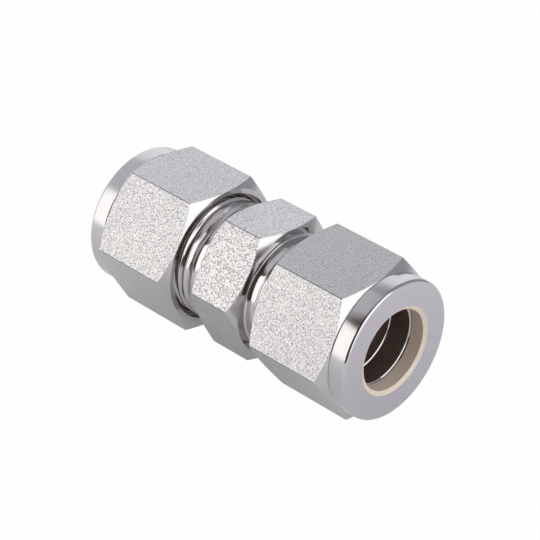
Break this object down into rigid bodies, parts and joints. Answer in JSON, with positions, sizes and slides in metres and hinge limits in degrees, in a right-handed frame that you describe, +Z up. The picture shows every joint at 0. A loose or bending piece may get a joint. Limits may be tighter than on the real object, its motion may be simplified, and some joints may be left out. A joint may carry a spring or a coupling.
{
  "type": "compression union",
  "caption": "Straight twin-ferrule tube union: a hexagon body with a tube socket at each end, each closed by a hexagon nut over a front and a back ferrule.",
  "frame": {"origin": "on the fitting's axis, at the centre of the body's hexagon", "axes": "+X along the axis towards the right-hand nut, +Z up, with the union lying on its two nuts"},
  "size_m": [0.0525, 0.0256, 0.023],
  "materials": {
    "body_steel": "stainless steel bar, pebbled flats, bright turned neck, chamfers and thread",
    "nut_steel": "stainless steel bar, pebbled flats, bright turned boss and chamfers, satin end face, silver-plated bore and thread",
    "ferrule_steel": "polished stainless steel"
  },
  "bodies": {
    "union_body": {"union_body": "body_steel"},
    "ferrules_right": {"front_ferrule_right": "ferrule_steel", "back_ferrule_right": "ferrule_steel"},
    "nut_right": {"nut_right": "nut_steel"},
    "ferrules_left": {"front_ferrule_left": "ferrule_steel", "back_ferrule_left": "ferrule_steel"},
    "nut_left": {"nut_left": "nut_steel"}
  },
  "joints": [
    {"name": "ferrules_right_slide", "type": "slide", "parent": "union_body", "child": "ferrules_right", "axis": [1, 0, 0], "range_m": [0, 0.0089]},
    {"name": "nut_right_turn", "type": "hinge", "parent": "ferrules_right", "child": "nut_right", "pos_m": [0.0172, 0, 0], "axis": [1, 0, 0], "range_deg": [0, 2520]},
    {"name": "ferrules_left_slide", "type": "slide", "parent": "union_body", "child": "ferrules_left", "axis": [-1, 0, 0], "range_m": [-0.0005, 0.0084]},
    {"name": "nut_left_turn", "type": "hinge", "parent": "ferrules_left", "child": "nut_left", "pos_m": [-0.0177, 0, 0], "axis": [-1, 0, 0], "range_deg": [-141.7, 2378.3]}
  ],
  "couplings": [
    {"joint": "ferrules_right_slide", "follows": "nut_right_turn", "m_per_rad": 0.00020213},
    {"joint": "ferrules_left_slide", "follows": "nut_left_turn", "m_per_rad": 0.00020213}
  ]
}
